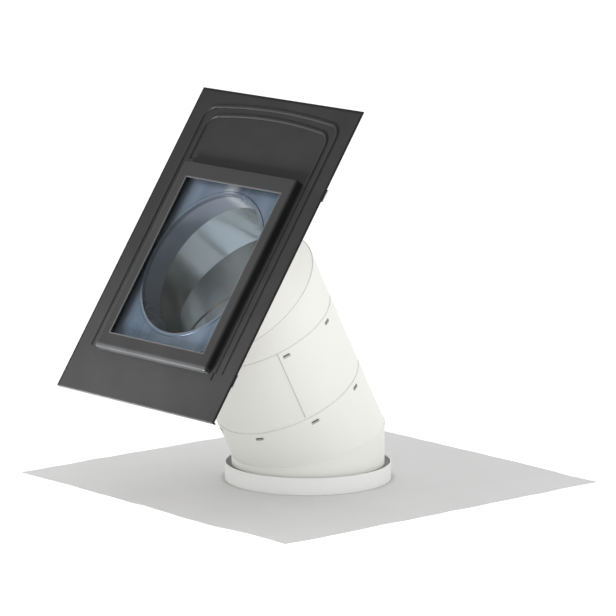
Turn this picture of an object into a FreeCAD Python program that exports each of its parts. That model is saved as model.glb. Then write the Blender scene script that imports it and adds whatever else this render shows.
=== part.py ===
import FreeCAD, Part
import math
import os
import Sketcher
from FreeCAD import Placement, Rotation, Vector

# A tubular skylight for a pitched roof, put together as installed.
# Origin: on the tunnel's upright axis, in the plane of the ceiling's underside.
# +Z is up. The roof slopes down towards -Y, and +X runs along the eave.

doc = FreeCAD.newDocument("tubular_skylight")
sizes = doc.addObject("Spreadsheet::Sheet", "sizes")

# Driving sizes in millimetres, and angles in degrees
DRIVING = {
    # Tunnel of coated aluminium sheet
    "tunnel_radius": 175,
    "tunnel_wall": 1,
    "roof_pitch": 56,
    "low_leg": 108,
    "high_leg": 137,
    "tube_length": 211,
    "joint_overlap": 30,
    "joint_gap": 0.3,
    "swage_taper": 5,
    "seam_reach": 3,
    "seam_proud": 1.2,
    "lock_width": 6,
    "lock_proud": 0.8,
    "lock_angle": -29,
    # Click windows and catches round each joint
    "window_width": 20,
    "window_height": 8,
    "window_setback": 15,
    "window_angle": 22.5,
    "catch_width": 16,
    "catch_proud": 1,
    # Roof sheet, along the eave and up the slope from the tunnel's axis
    "sheet_width": 552,
    "sheet_length": 770,
    "sheet_wall": 3,
    "sheet_hem": 8,
    "hole_to_eave": 350,
    "upstand_rise": 9,
    "upstand_wall": 6,
    "ledge_width": 7,
    "plinth_reach": 12,
    "plinth_rise": 2,
    "bead_width": 9,
    "bead_rise": 3,
    "bead_side": 230,
    "bead_top": 379,
    "bead_crown": 11,
    "bead_corner": 34,
    "bead_pitch": 22,
    "bead_foot": 240,
    # Cover frame, pane, gaskets and mirror tray
    "frame_width": 388,
    "frame_length": 475,
    "frame_offset": 8,
    "stile_width": 30,
    "rail_width": 39,
    "cladding_wall": 2.5,
    "cladding_round": 5,
    "gasket_wall": 1.5,
    "gasket_width": 12,
    "pane_wall": 4,
    "tray_wall": 1,
    "spout_depth": 60,
    "spout_overlap": 45,
    "spout_flange": 7,
    # Base frame on the roof's battens, with its brackets and screws
    "base_depth": 30,
    "base_wall": 20,
    "base_gap": 4,
    "bracket_wall": 2.5,
    "bracket_width": 30,
    "bracket_foot": 34,
    "bracket_height": 26,
    "bracket_inset": 17.5,
    "bolt_reach": 18,
    "roof_bolt_radius": 3,
    "screw_radius": 2,
    "screw_head_radius": 4,
    "screw_head_height": 2.2,
    "screw_length": 14,
    "screw_spacing": 18,
    # Tunnel ring under the roof sheet
    "ring_radius": 188,
    "ring_wall": 1.5,
    "ring_height": 35,
    "ring_seal_height": 20,
    # Ceiling: the space for the board, the membrane with its collar and seal
    "board_space": 15,
    "mouth_gap": 3,
    "membrane_side": 932,
    "membrane_wall": 1,
    "collar_radius": 190.5,
    "collar_wall": 2,
    "collar_height": 41,
    "collar_flange": 12,
    "seal_height": 25,
    "seal_lift": 11,
    # Ceiling ring and the lens below it
    "flange_radius": 208,
    "flange_depth": 10,
    "flange_land": 184,
    "flange_wall": 2.5,
    "flange_rim": 3,
    "flange_groove": 1.2,
    "spigot_radius": 170,
    "spigot_top_radius": 166.5,
    "spigot_wall": 2.5,
    "spigot_straight": 30,
    "spigot_height": 60,
    "notch_width": 16,
    "notch_foot": 7,
    "ramp_drop": 9,
    "lens_seat": 179.5,
    "lug_width": 14,
    "lug_reach": 2.5,
    "lens_depth": 38,
    "lens_wall": 3,
    "lens_flat": 138,
    "lens_rim": 3,
    "lens_clearance": 0.8,
    "lens_seal": 1.5,
    "lens_seal_width": 8,
}
for row, (alias, value) in enumerate(DRIVING.items(), start=1):
    sizes.set(f"A{row}", alias)
    sizes.set(f"B{row}", str(value))
    sizes.setAlias(f"B{row}", alias)
doc.recompute()

# Counts, and a length well past the whole part for cuts that go right through
WINDOWS = 8
SPIGOT_PANELS = 4
LENS_LUGS = 4
WATER_BEADS = 2
FAR = 1200
AXES = "xyz"

nodes = {}


def size(alias):
    return float(sizes.get(alias))


def rule(text):
    """A rule in which each size is written as its alias alone, as the sheet's own expression."""
    words = []
    word = ""
    for letter in str(text) + " ":
        if letter.isalnum() or letter == "_":
            word += letter
            continue
        words.append("sizes." + word if word in DRIVING else word)
        words.append(letter)
        word = ""
    return "".join(words).strip()


def bind(item, prop, text):
    item.setExpression(prop, rule(text))


probe = doc.addObject("Part::Box", "probe")


def now(text):
    """The number that a rule comes to with the sizes as they are."""
    bind(probe, "Placement.Base.x", text)
    probe.recompute()
    return probe.Placement.Base.x


# Helpers that make features with bound sizes


def box(name, corner, extent):
    item = doc.addObject("Part::Box", name)
    for prop, text in zip(("Length", "Width", "Height"), extent):
        bind(item, prop, text)
    for axis, text in zip(AXES, corner):
        bind(item, "Placement.Base." + axis, text)
    return item


def cylinder(name, radius, height, foot, turn=Rotation()):
    """A cylinder whose foot is at three bound distances, turned about that foot."""
    item = doc.addObject("Part::Cylinder", name)
    bind(item, "Radius", radius)
    bind(item, "Height", height)
    item.Placement = Placement(Vector(), turn)
    for axis, text in zip(AXES, foot):
        bind(item, "Placement.Base." + axis, text)
    return item


def cut(name, base, tool):
    item = doc.addObject("Part::Cut", name)
    item.Base = base
    item.Tool = tool
    return item


def common(name, base, tool):
    item = doc.addObject("Part::Common", name)
    item.Base = base
    item.Tool = tool
    return item


def fuse(name, pieces):
    item = doc.addObject("Part::MultiFuse", name)
    item.Shapes = pieces
    return item


def group(name, pieces):
    item = doc.addObject("Part::Compound", name)
    item.Links = pieces
    return item


def box_ring(name, half_x, low, high, foot, height, wall):
    """A rectangular ring of one wall: half_x each side of the middle, and from low to high along Y."""
    outer = box(
        name + "_outer", (f"-({half_x})", low, foot), (f"2 * ({half_x})", f"({high}) - ({low})", height)
    )
    inner = box(
        name + "_inner", (f"{wall} - ({half_x})", f"({low}) + {wall}", f"({foot}) - 1"),
        (f"2 * ({half_x}) - 2 * {wall}", f"({high}) - ({low}) - 2 * {wall}", f"({height}) + 2"),
    )
    return cut(name, outer, inner)


def new_body(name):
    return doc.addObject("PartDesign::Body", name)


def datum(body, role):
    return [item for item in body.Origin.OriginFeatures if item.Role == role][0]


def outline(body, name, role, points, turn=0.0):
    """A closed outline whose corners are each held at two bound distances from the sketch's origin.

    A point of five rules starts an arc to the next point, through its second pair and of its last radius.
    """
    sketch = body.newObject("Sketcher::SketchObject", name)
    sketch.AttachmentSupport = [(datum(body, role), "")]
    sketch.MapMode = "FlatFace"
    sketch.AttachmentOffset = Placement(Vector(), Rotation(Vector(0, 1, 0), turn))
    places = [Vector(now(point[0]), now(point[1]), 0) for point in points]
    for i, (point, start) in enumerate(zip(points, places)):
        end = places[(i + 1) % len(places)]
        if len(point) == 5:
            sketch.addGeometry(Part.Arc(start, Vector(now(point[2]), now(point[3]), 0), end), False)
        else:
            sketch.addGeometry(Part.LineSegment(start, end), False)
    # An arc is stored anticlockwise, so its start may be the outline's end
    start_of = []
    for i, place in enumerate(places):
        start_of.append(1 if sketch.getPoint(i, 1).distanceToPoint(place) < 0.001 else 2)
    for i in range(len(places)):
        following = (i + 1) % len(places)
        sketch.addConstraint(
            Sketcher.Constraint("Coincident", i, 3 - start_of[i], following, start_of[following])
        )
    for i, (point, place) in enumerate(zip(points, places)):
        for kind, text, number, axis in (("DistanceX", point[0], place.x, -2), ("DistanceY", point[1], place.y, -1)):
            if str(text) == "0":
                sketch.addConstraint(Sketcher.Constraint("PointOnObject", i, start_of[i], axis))
                continue
            held = sketch.addConstraint(Sketcher.Constraint(kind, -1, 1, i, start_of[i], number))
            bind(sketch, f"Constraints[{held}]", text)
        if len(point) == 5:
            held = sketch.addConstraint(Sketcher.Constraint("Radius", i, now(point[4])))
            bind(sketch, f"Constraints[{held}]", point[4])
    return sketch


def turned(body, name, points):
    """A full turn of an outline of radius and height about the body's Z axis."""
    feature = body.newObject("PartDesign::Revolution", name)
    feature.Profile = outline(body, name + "_outline", "XZ_Plane", points)
    feature.ReferenceAxis = (feature.Profile[0], ["V_Axis"])
    feature.Angle = 360
    doc.recompute()
    return feature


def cut_through(body, name, role, points, turn=0.0):
    """Cuts an outline right through the body, both ways from its plane."""
    feature = body.newObject("PartDesign::Pocket", name)
    feature.Profile = outline(body, name + "_outline", role, points, turn)
    feature.Type = "ThroughAll"
    feature.Midplane = True
    doc.recompute()
    return feature


def cut_one_wall(body, name, points, depth, turn=0.0):
    """Cuts an outline from a plane through the axis out through the wall on one side."""
    feature = body.newObject("PartDesign::Pocket", name)
    feature.Profile = outline(body, name + "_outline", "XZ_Plane", points, turn)
    feature.Type = "Length"
    bind(feature, "Length", depth)
    doc.recompute()
    return feature


def pad(body, name, role, points, length, turn=0.0, both_ways=True):
    """Adds an outline with a bound length, half to each side of its plane or all to one side."""
    feature = body.newObject("PartDesign::Pad", name)
    feature.Profile = outline(body, name + "_outline", role, points, turn)
    feature.Midplane = both_ways
    bind(feature, "Length", length)
    doc.recompute()
    return feature


def around(body, feature, count, angle=360.0):
    """Repeats a feature about the Z axis, count times over the angle from the first to the last."""
    pattern = body.newObject("PartDesign::PolarPattern", feature.Name + "_round")
    pattern.Originals = [feature]
    pattern.Axis = (datum(body, "Z_Axis"), [""])
    pattern.Angle = angle
    pattern.Occurrences = count
    body.Tip = pattern
    doc.recompute()
    return pattern


# Where each piece of the tunnel stands. Two equal elbows turn it from upright to square with the roof.

bend = size("roof_pitch") / 2
mitre_slope = "tan(roof_pitch * 0.25 deg)"
mitre_reach = f"tunnel_radius * {mitre_slope}"


def lean(angle):
    """The direction of an axis that leans towards -Y by an angle in degrees."""
    turn = math.radians(angle)
    return Vector(0, -math.sin(turn), math.cos(turn))


def standing(foot, angle):
    return Placement(foot, Rotation(Vector(1, 0, 0), angle))


def hanging(mouth, angle):
    return Placement(mouth, Rotation(Vector(1, 0, 0), angle + 180))


lower_mouth = Vector(0, 0, size("mouth_gap"))
lower_mitre = lower_mouth + lean(0) * size("low_leg")
lower_top = lower_mitre + lean(bend) * size("high_leg")
tube_mouth = lower_top - lean(bend) * size("joint_overlap")
tube_top = tube_mouth + lean(bend) * size("tube_length")
upper_mouth = tube_top - lean(bend) * size("joint_overlap")
upper_mitre = upper_mouth + lean(bend) * size("low_leg")
upper_top = upper_mitre + lean(2 * bend) * size("high_leg")
hole_centre = upper_top + lean(2 * bend) * (size("spout_depth") - size("spout_overlap"))
on_roof = standing(hole_centre, size("roof_pitch"))

# Tunnel pieces. Each is modelled upright, with its mouth at z = 0.

male_radius = "(tunnel_radius - tunnel_wall - joint_gap)"


def wall_outline(male, top):
    """The section of a tunnel wall, plain or with a swaged end that slips into the piece below it."""
    inner = "tunnel_radius - tunnel_wall"
    if not male:
        return [(inner, "0"), ("tunnel_radius", "0"), ("tunnel_radius", top), (inner, top)]
    male_inner = f"{male_radius} - tunnel_wall"
    taper_end = "joint_overlap + swage_taper"
    return [
        (male_inner, "0"), (male_radius, "0"), (male_radius, "joint_overlap"), ("tunnel_radius", taper_end),
        ("tunnel_radius", top), (inner, top), (inner, taper_end), (male_inner, "joint_overlap"),
    ]


def windows(body, name, centre):
    """Click windows all round a rim, each cut taking two opposite walls."""
    low = f"{centre} - window_height / 2"
    high = f"{centre} + window_height / 2"
    corners = [
        ("-window_width / 2", low), ("window_width / 2", low), ("window_width / 2", high), ("-window_width / 2", high)
    ]
    slot = cut_through(body, name, "XZ_Plane", corners, size("window_angle"))
    around(body, slot, WINDOWS // 2, 180 - 360 / WINDOWS)


def catches(body, name, root, centre, hook):
    """Catches that click out through the windows of the piece outside them.

    hook is 1 where the catch's flat face bears on its window's upper edge, or -1 on the lower edge.
    """
    flat = f"{centre} + {hook} * (window_height / 2 - joint_gap)"
    section = [
        (f"{root} - tunnel_wall / 2", flat), ("tunnel_radius + catch_proud", flat),
        ("tunnel_radius + catch_proud", f"{centre} + {hook} * window_height / 8"),
        (f"{root} - tunnel_wall / 2", f"{centre} - {hook} * (window_height / 2 - joint_gap)"),
    ]
    catch = pad(body, name, "XZ_Plane", section, "catch_width", size("window_angle"))
    around(body, catch, WINDOWS)


def mitre_line(length, side, drop, far):
    """The two ends of a line along the mitre at the end of a leg, lowered by a drop."""
    slope = f"{side} * {far} * {mitre_slope}"
    return (f"-{far}", f"{length} - {slope} - {drop}"), (f"{far}", f"{length} + {slope} - {drop}")


def elbow_leg(name, length, male, side):
    """One leg of an elbow, from its mouth to the mitre. side is 1 where it is longest at +Y, or -1."""
    body = new_body(name)
    turned(body, name + "_wall", wall_outline(male, f"{length} + {mitre_reach} + 2"))
    if male:
        catches(body, name + "_catches", male_radius, "window_setback", 1)
    else:
        windows(body, name + "_windows", "window_setback")
    start, end = mitre_line(length, side, "0", FAR)
    cut_through(body, name + "_mitre", "YZ_Plane", [start, end, (f"{FAR}", f"{2 * FAR}"), (f"-{FAR}", f"{2 * FAR}")])
    return body


def seam_half(name, length, side, bore):
    """Half of the folded seam: a sleeve round one leg, kept between the mitre and a parallel plane."""
    body = new_body(name)
    reach = f"seam_reach / cos(roof_pitch * 0.25 deg)"
    foot = f"{length} - {mitre_reach} - {reach} - 2"
    top = f"{length} + {mitre_reach} + 2"
    outer = "tunnel_radius + seam_proud"
    turned(body, name + "_sleeve", [(bore, foot), (outer, foot), (outer, top), (bore, top)])
    start, end = mitre_line(length, side, "0", FAR)
    cut_through(body, name + "_above", "YZ_Plane", [start, end, (f"{FAR}", f"{2 * FAR}"), (f"-{FAR}", f"{2 * FAR}")])
    start, end = mitre_line(length, side, reach, FAR)
    cut_through(body, name + "_below", "YZ_Plane", [start, end, (f"{FAR}", f"-{2 * FAR}"), (f"-{FAR}", f"-{2 * FAR}")])
    return body


def elbow(name, mouth, top, first_lean, male):
    """Two mitred legs. The lower leg's edge is folded over the upper one's in a seam round the mitre."""
    low_wall = elbow_leg(name + "_low_wall", "low_leg", male, 1)
    low_wall.Placement = standing(mouth, first_lean)
    under = seam_half(name + "_seam_under", "low_leg", 1, "tunnel_radius - tunnel_wall / 2")
    under.Placement = low_wall.Placement
    high_wall = elbow_leg(name + "_upper_shell", "high_leg", False, -1)
    high_wall.Placement = hanging(top, first_lean + bend)
    over = seam_half(name + "_seam_over", "high_leg", -1, "tunnel_radius + joint_gap / 2")
    over.Placement = high_wall.Placement
    nodes[name + "_lower_shell"] = fuse(name + "_lower_shell", [low_wall, under, over])
    nodes[name + "_upper_shell"] = high_wall


elbow("lower_elbow", lower_mouth, lower_top, 0.0, False)
elbow("upper_elbow", upper_mouth, upper_top, bend, True)


def straight_tube():
    """The straight tube, swaged at its lower end, with the lock seam folded down its side."""
    body = new_body("straight_tube")
    turned(body, "tube_wall", wall_outline(True, "tube_length"))
    catches(body, "tube_catches", male_radius, "window_setback", 1)
    windows(body, "tube_windows", "tube_length - window_setback")
    foot = "joint_overlap + swage_taper + 1"
    section = [
        ("tunnel_radius - tunnel_wall / 2", foot), ("tunnel_radius + lock_proud", foot),
        ("tunnel_radius + lock_proud", "tube_length"), ("tunnel_radius - tunnel_wall / 2", "tube_length"),
    ]
    body.Tip = pad(body, "tube_lock_seam", "XZ_Plane", section, "lock_width", size("lock_angle"))
    body.Placement = standing(tube_mouth, bend)
    nodes["straight_tube"] = body


straight_tube()

# Roof unit. In its own frame the sheet's face is at z = 0, +Y runs up the slope,
# and the tunnel's axis is at x = y = 0.

frame_low = "(-frame_offset - frame_length / 2)"
frame_high = "(-frame_offset + frame_length / 2)"
curb_x = "(frame_width / 2 - cladding_wall - joint_gap)"
curb_low = f"({frame_low} + cladding_wall + joint_gap)"
curb_high = f"({frame_high} - cladding_wall - joint_gap)"
pane_foot = "(upstand_rise + gasket_wall)"
pane_top = "(upstand_rise + gasket_wall + pane_wall)"
cladding_top = "(upstand_rise + 2 * gasket_wall + pane_wall + cladding_wall)"


def bead_shape(step):
    """A raised water bead: up one side of the sheet, over the top in a flat arch, and down the other."""
    side = size("bead_side") - step * size("bead_pitch")
    top = size("bead_top") - step * size("bead_pitch")
    foot = -size("bead_foot")
    corner = size("bead_corner")
    knee = corner * (1 - math.sqrt(0.5))
    half = size("bead_width") / 2
    root = -size("sheet_wall") / 2
    shoulder_left = Vector(-side, top - corner, 0)
    shoulder_right = Vector(side, top - corner, 0)
    over_left = Vector(-side + corner, top, 0)
    over_right = Vector(side - corner, top, 0)
    path = Part.Wire([
        Part.makeLine(Vector(-side, foot, 0), shoulder_left),
        Part.Arc(shoulder_left, Vector(-side + knee, top - knee, 0), over_left).toShape(),
        Part.Arc(over_left, Vector(0, top + size("bead_crown"), 0), over_right).toShape(),
        Part.Arc(over_right, Vector(side - knee, top - knee, 0), shoulder_right).toShape(),
        Part.makeLine(shoulder_right, Vector(side, foot, 0)),
    ])
    outer, inner = Vector(-side - half, foot, 0), Vector(-side + half, foot, 0)
    crown = Vector(-side, foot, size("bead_rise"))
    drop = Vector(0, 0, root)
    section = Part.Wire([
        Part.makeLine(outer + drop, outer),
        Part.Arc(outer, crown, inner).toShape(),
        Part.makeLine(inner, inner + drop),
        Part.makeLine(inner + drop, outer + drop),
    ])
    return path.makePipeShell([section], True, False, 1)


def roof_sheet():
    """The roof sheet with its turned-down hem, plinth, upstand round the opening, and water beads."""
    eave = "-hole_to_eave"
    plate = box("sheet_plate", ("-sheet_width / 2", eave, "-sheet_wall"), ("sheet_width", "sheet_length", "sheet_wall"))
    hem = box("sheet_hem_lip", ("-sheet_width / 2", eave, "-sheet_hem"), ("sheet_width", "sheet_wall", "sheet_hem"))
    plinth = box(
        "sheet_plinth", ("-frame_width / 2 - plinth_reach", f"{frame_low} - plinth_reach", "-1"),
        ("frame_width + 2 * plinth_reach", "frame_length + 2 * plinth_reach", "plinth_rise + 1"),
    )
    upstand = box(
        "sheet_upstand", (f"-{curb_x}", curb_low, "-1"),
        (f"2 * {curb_x}", f"{curb_high} - {curb_low}", "upstand_rise + 1"),
    )
    beads = []
    for step in range(WATER_BEADS):
        bead = doc.addObject("Part::Feature", f"water_bead_{step + 1}")
        bead.Shape = bead_shape(step)
        beads.append(bead)
    solid = fuse("sheet_solid", [plate, hem, plinth, upstand] + beads)
    well_x = f"({curb_x} - upstand_wall)"
    well = box(
        "sheet_well", (f"-{well_x}", f"{curb_low} + upstand_wall", "0"),
        (f"2 * {well_x}", f"{curb_high} - {curb_low} - 2 * upstand_wall", "2 * upstand_rise"),
    )
    rim = "(upstand_wall + ledge_width)"
    opening = box(
        "sheet_opening", (f"{rim} - {curb_x}", f"{curb_low} + {rim}", "-2 * sheet_wall"),
        (f"2 * {curb_x} - 2 * {rim}", f"{curb_high} - {curb_low} - 2 * {rim}", "4 * sheet_wall"),
    )
    nodes["roof_sheet"] = cut("roof_sheet", solid, fuse("sheet_cutters", [well, opening]))


def mirror_tray():
    """The mirror tray on the sheet's ledge, and the spout whose flange lies on it round the hole."""
    edge = "(upstand_wall + joint_gap)"
    plate = box(
        "tray_plate", (f"{edge} - {curb_x}", f"{curb_low} + {edge}", "0"),
        (f"2 * {curb_x} - 2 * {edge}", f"{curb_high} - {curb_low} - 2 * {edge}", "tray_wall"),
    )
    body = new_body("tray_spout")
    inner = f"{male_radius} - tunnel_wall"
    flange = f"{male_radius} + spout_flange"
    root = "spout_depth + tray_wall / 2"
    top = "spout_depth + tray_wall + tunnel_wall"
    turned(body, "spout_wall", [
        (inner, "0"), (male_radius, "0"), (male_radius, root), (flange, root), (flange, f"{top} - tunnel_wall / 2"),
        (f"{flange} - tunnel_wall / 2", top), (inner, top),
    ])
    catches(body, "spout_catches", male_radius, "spout_overlap - window_setback", 1)
    body.Placement = Placement(Vector(0, 0, -size("spout_depth")), Rotation())
    bore = cylinder("tray_bore", inner, "spout_depth + 20", ("0", "0", "-spout_depth - 5"))
    nodes["mirror_tray"] = fuse("mirror_tray", [cut("tray_plate_bored", plate, bore), body])


def glazing():
    """The pane between its two gaskets, on top of the upstand."""
    nodes["glass_seat_gasket"] = box_ring(
        "glass_seat_gasket", curb_x, curb_low, curb_high, "upstand_rise", "gasket_wall", "gasket_width"
    )
    nodes["glass_top_gasket"] = box_ring(
        "glass_top_gasket", curb_x, curb_low, curb_high, pane_top, "gasket_wall", "gasket_width"
    )
    body = new_body("glass_pane")
    corners = [
        (f"-{curb_x}", curb_low), (curb_x, curb_low), (curb_x, curb_high), (f"-{curb_x}", curb_high)
    ]
    pad(body, "pane_plate", "XY_Plane", corners, "pane_wall", both_ways=False)
    nodes["glass_pane"] = body


def cover_frame():
    """Four covers of folded sheet, mitred at the corners, round the pane's edge."""
    foot = "plinth_rise + joint_gap"
    shell = new_body("cover_shell")
    half = "frame_width / 2"
    outer = [(f"-{half}", frame_low), (half, frame_low), (half, frame_high), (f"-{half}", frame_high)]
    block = pad(shell, "cover_block", "XY_Plane", outer, f"{cladding_top} - {foot}", both_ways=False)
    top = block.Shape.BoundBox.ZMax
    upper = [
        f"Edge{i}" for i, edge in enumerate(block.Shape.Edges, start=1)
        if abs(edge.BoundBox.ZMin - top) < 0.01 or edge.BoundBox.ZLength > 1
    ]
    rounded = shell.newObject("PartDesign::Fillet", "cover_round")
    rounded.Base = (block, upper)
    bind(rounded, "Radius", "cladding_round")
    doc.recompute()
    shell.Placement = Placement(Vector(0, 0, now(foot)), Rotation())
    cavity = box(
        "cover_cavity", (f"cladding_wall - {half}", f"{frame_low} + cladding_wall", "0"),
        ("frame_width - 2 * cladding_wall", "frame_length - 2 * cladding_wall", f"{cladding_top} - cladding_wall"),
    )
    sight = box(
        "cover_sight", (f"stile_width - {half}", f"{frame_low} + rail_width", "0"),
        ("frame_width - 2 * stile_width", "frame_length - 2 * rail_width", "2 * " + cladding_top),
    )
    whole = cut("cover_whole", shell, fuse("cover_cutters", [cavity, sight]))
    inner_x, inner_low, inner_high = f"{half} - stile_width", f"{frame_low} + rail_width", f"{frame_high} - rail_width"
    # Each mitre line runs on past the frame's corner by the frame's own mitre again
    out_x, out_low, out_high = f"{half} + stile_width", f"{frame_low} - rail_width", f"{frame_high} + rail_width"
    wedges = {
        "cover_left": [(f"-({out_x})", out_low), (f"-({inner_x})", inner_low), (f"-({inner_x})", inner_high),
                       (f"-({out_x})", out_high)],
        "cover_right": [(out_x, out_low), (out_x, out_high), (inner_x, inner_high), (inner_x, inner_low)],
        "cover_bottom": [(f"-({out_x})", out_low), (out_x, out_low), (inner_x, inner_low), (f"-({inner_x})", inner_low)],
        "cover_top": [(f"-({out_x})", out_high), (f"-({inner_x})", inner_high), (inner_x, inner_high), (out_x, out_high)],
    }
    for name, corners in wedges.items():
        wedge = new_body(name + "_wedge")
        pad(wedge, name + "_prism", "XY_Plane", corners, f"4 * {cladding_top}")
        nodes[name] = common(name, whole, wedge)


roof_sheet()
mirror_tray()
glazing()
cover_frame()

# Base frame, brackets and screws under the roof sheet

base_x = "(ring_radius + base_gap + base_wall)"
base_foot = "(-sheet_wall - base_depth)"


def screw(name):
    """A pan-head screw, its head above z = 0 and its shank below."""
    body = new_body(name)
    turned(body, name + "_turning", [
        ("0", "-screw_length"), ("screw_radius", "-screw_length + screw_radius"), ("screw_radius", "0"),
        ("screw_head_radius", "0"), ("screw_head_radius", "screw_head_height / 2"),
        ("screw_head_radius * 0.6", "screw_head_height"), ("0", "screw_head_height"),
    ])
    return body


def base_and_brackets():
    """The base frame, and a bent steel bracket near each corner that is screwed to its side."""
    frame = box_ring(
        "base_ring", base_x, f"{frame_low} - base_wall / 2", f"{frame_high} + base_wall / 2", base_foot,
        "base_depth", "base_wall",
    )
    holes = []
    screws = []
    corners = [(sx, sy) for sx in (-1, 1) for sy in (-1, 1)]
    middle = f"({base_foot} + bracket_height * 0.6)"
    station = {
        -1: f"({frame_low} - base_wall / 2 + bracket_inset)", 1: f"({frame_high} + base_wall / 2 - bracket_inset)"
    }
    for number, (sx, sy) in enumerate(corners, start=1):
        inner = base_x if sx > 0 else f"-{base_x} - bracket_wall"
        out = base_x if sx > 0 else f"-{base_x} - bracket_foot"
        low = f"{station[sy]} - bracket_width / 2"
        upright_leg = box(f"bracket_{number}_leg", (inner, low, base_foot),
                          ("bracket_wall", "bracket_width", "bracket_height"))
        foot_leg = box(f"bracket_{number}_foot", (out, low, base_foot),
                       ("bracket_foot", "bracket_width", "bracket_wall"))
        cutters = [cylinder(
            f"bracket_{number}_bolt_hole", "roof_bolt_radius", "4 * bracket_wall",
            (f"{sx} * ({base_x} + bolt_reach)", station[sy], f"{base_foot} - bracket_wall"),
        )]
        sideways = Rotation(Vector(0, 1, 0), 90 * sx)
        for row in (-1, 1):
            y = f"{station[sy]} + {row} * screw_spacing / 2"
            hole = cylinder(
                f"screw_hole_{number}_{row + 1}", "screw_radius + joint_gap / 3", "2 * screw_length",
                (f"{sx} * ({base_x} - screw_length)", y, middle), sideways,
            )
            holes.append(hole)
            cutters.append(hole)
            item = screw(f"screw_{number}_{row + 1}")
            seat = Vector(sx * now(f"{base_x} + bracket_wall"), now(y), now(middle))
            item.Placement = on_roof * Placement(seat, sideways)
            screws.append(item)
        nodes[f"roof_bracket_{number}"] = cut(
            f"roof_bracket_{number}", fuse(f"bracket_{number}_bent", [upright_leg, foot_leg]),
            fuse(f"bracket_{number}_holes", cutters),
        )
    nodes["base_frame"] = cut("base_frame", frame, fuse("base_holes", holes))
    return screws


bracket_screws = base_and_brackets()


def tunnel_ring():
    """The ring that closes the joint between the spout and the upper elbow, and its foam seal."""
    body = new_body("tunnel_ring")
    inner = "ring_radius - ring_wall"
    turned(body, "ring_wall_turn", [
        (inner, "0"), ("ring_radius", "0"), ("ring_radius", "ring_height"), (inner, "ring_height")
    ])
    windows(body, "ring_windows", "window_height")
    nodes["tunnel_ring"] = body
    seal = new_body("ring_seal")
    seal_outer = "ring_radius - ring_wall - joint_gap"
    turned(seal, "ring_seal_turn", [
        ("tunnel_radius + joint_gap", "0"), (seal_outer, "0"), (seal_outer, "ring_seal_height"),
        ("tunnel_radius + joint_gap", "ring_seal_height"),
    ])
    nodes["ring_seal"] = seal


tunnel_ring()
ring_foot = -size("sheet_wall") - size("ring_height")
roof_lifts = {
    "glass_pane": now(pane_foot),
    "tunnel_ring": ring_foot,
    "ring_seal": -size("sheet_wall") - 1 - size("ring_seal_height"),
}
for name in (
    "roof_sheet", "mirror_tray", "glass_seat_gasket", "glass_pane", "glass_top_gasket", "cover_left", "cover_right",
    "cover_bottom", "cover_top", "base_frame", "roof_bracket_1", "roof_bracket_2", "roof_bracket_3", "roof_bracket_4",
    "tunnel_ring", "ring_seal",
):
    nodes[name].Placement = on_roof * Placement(Vector(0, 0, roof_lifts.get(name, 0)), Rotation())
nodes["bracket_screws"] = group("bracket_screws", bracket_screws)

# Ceiling side


def membrane():
    """The square membrane, the collar that carries it round the tunnel, and the seal between them."""
    half = "-membrane_side / 2"
    square = box("membrane_square", (half, half, "board_space"), ("membrane_side", "membrane_side", "membrane_wall"))
    hole = cylinder(
        "membrane_hole", "collar_radius + joint_gap / 3", "4 * membrane_wall",
        ("0", "0", "board_space - membrane_wall"),
    )
    nodes["membrane_sheet"] = cut("membrane_sheet", square, hole)
    collar = new_body("membrane_collar")
    inner = "collar_radius - collar_wall"
    turned(collar, "collar_turn", [
        (inner, "0"), ("collar_radius + collar_flange", "0"), ("collar_radius + collar_flange", "membrane_wall"),
        ("collar_radius", "membrane_wall"), ("collar_radius", "collar_height"), (inner, "collar_height"),
    ])
    collar.Placement.Base.z = size("board_space") - size("membrane_wall")
    nodes["membrane_collar"] = collar
    seal = new_body("collar_seal")
    outer = "collar_radius - collar_wall - joint_gap"
    turned(seal, "collar_seal_turn", [
        ("tunnel_radius + joint_gap", "0"), (outer, "0"), (outer, "seal_height"),
        ("tunnel_radius + joint_gap", "seal_height"),
    ])
    seal.Placement.Base.z = size("board_space") + size("seal_lift")
    nodes["collar_seal"] = seal


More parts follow.
